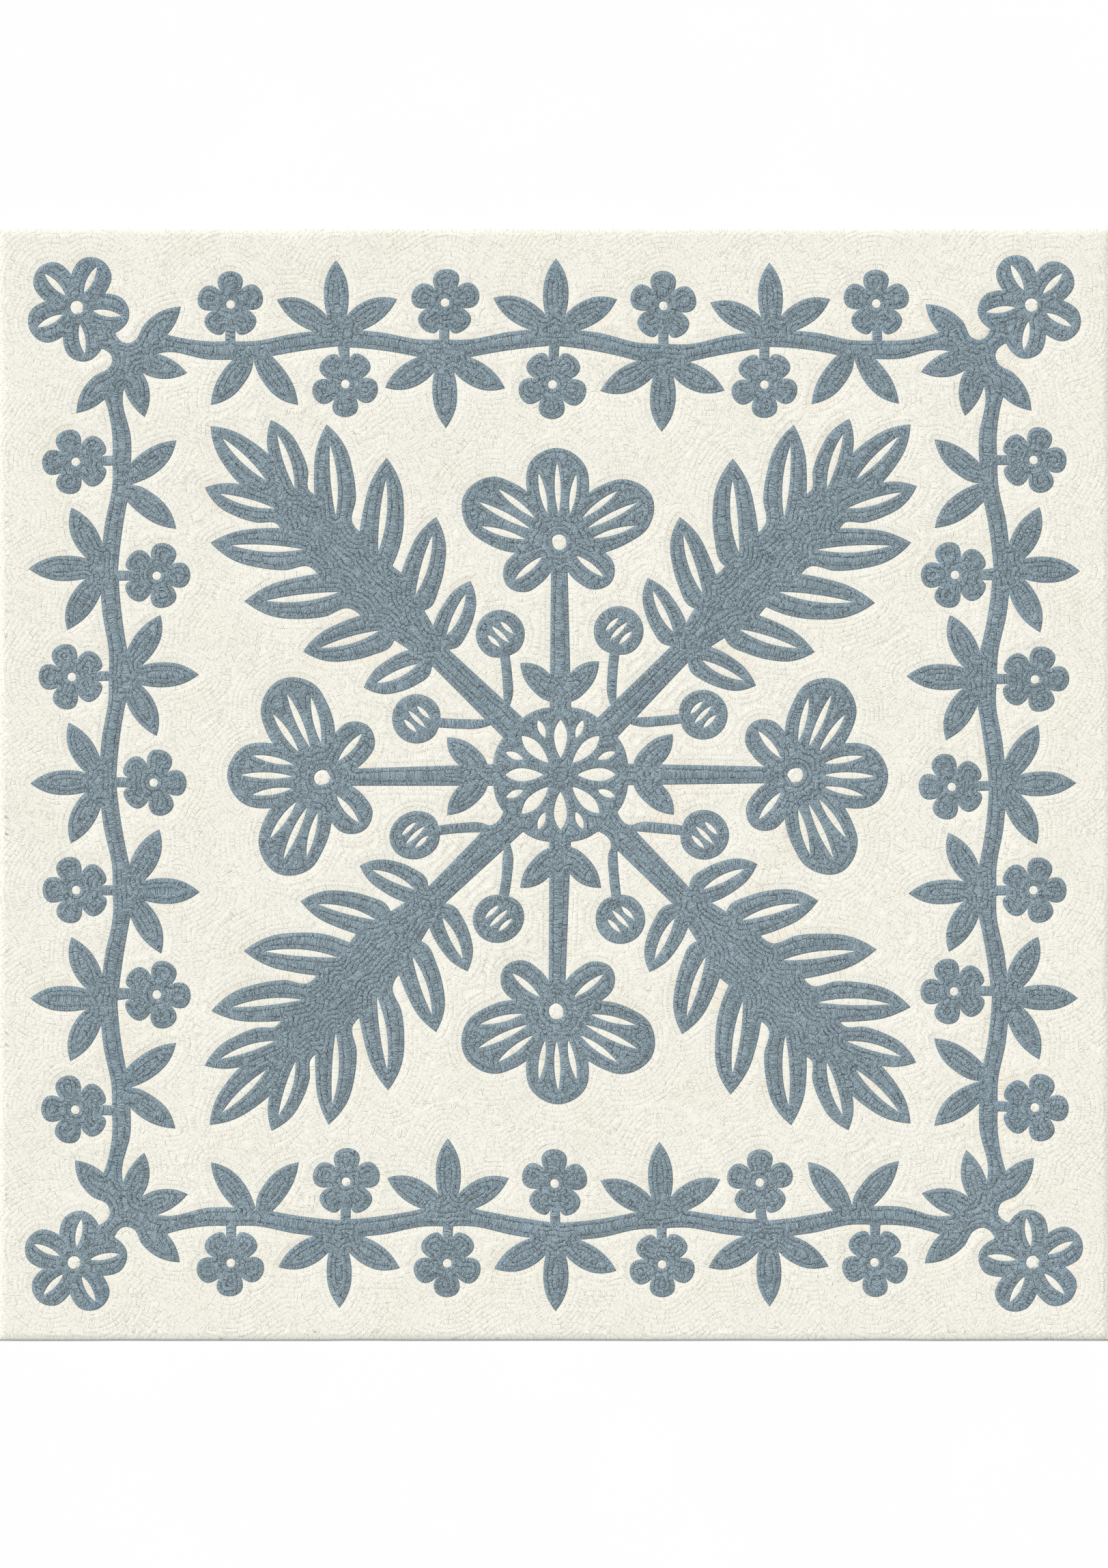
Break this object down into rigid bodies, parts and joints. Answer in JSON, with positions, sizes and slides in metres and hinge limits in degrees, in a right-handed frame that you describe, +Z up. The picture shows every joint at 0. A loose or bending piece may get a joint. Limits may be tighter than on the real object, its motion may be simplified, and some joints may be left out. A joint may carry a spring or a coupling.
{
  "type": "hawaiian quilt",
  "caption": "Square quilt lying flat: cream quilted ground with a blue cut-cloth leaf medallion in the middle and a blue flowering-vine border.",
  "frame": {"origin": "middle of the underside, which lies on the surface", "axes": "+Z up out of the face; +X and +Y along the quilt's sides, +Y towards the top of the face"},
  "size_m": [2.1, 2.1, 0.0073],
  "materials": {
    "cream_cotton": "matt plain-woven cotton, echo quilted in rows",
    "blue_cotton": "matt faded grey-blue cotton, puckered by quilting"
  },
  "bodies": {
    "root": {"quilt_body": "cream_cotton", "centre_applique": "blue_cotton", "border_applique": "blue_cotton"}
  },
  "joints": []
}
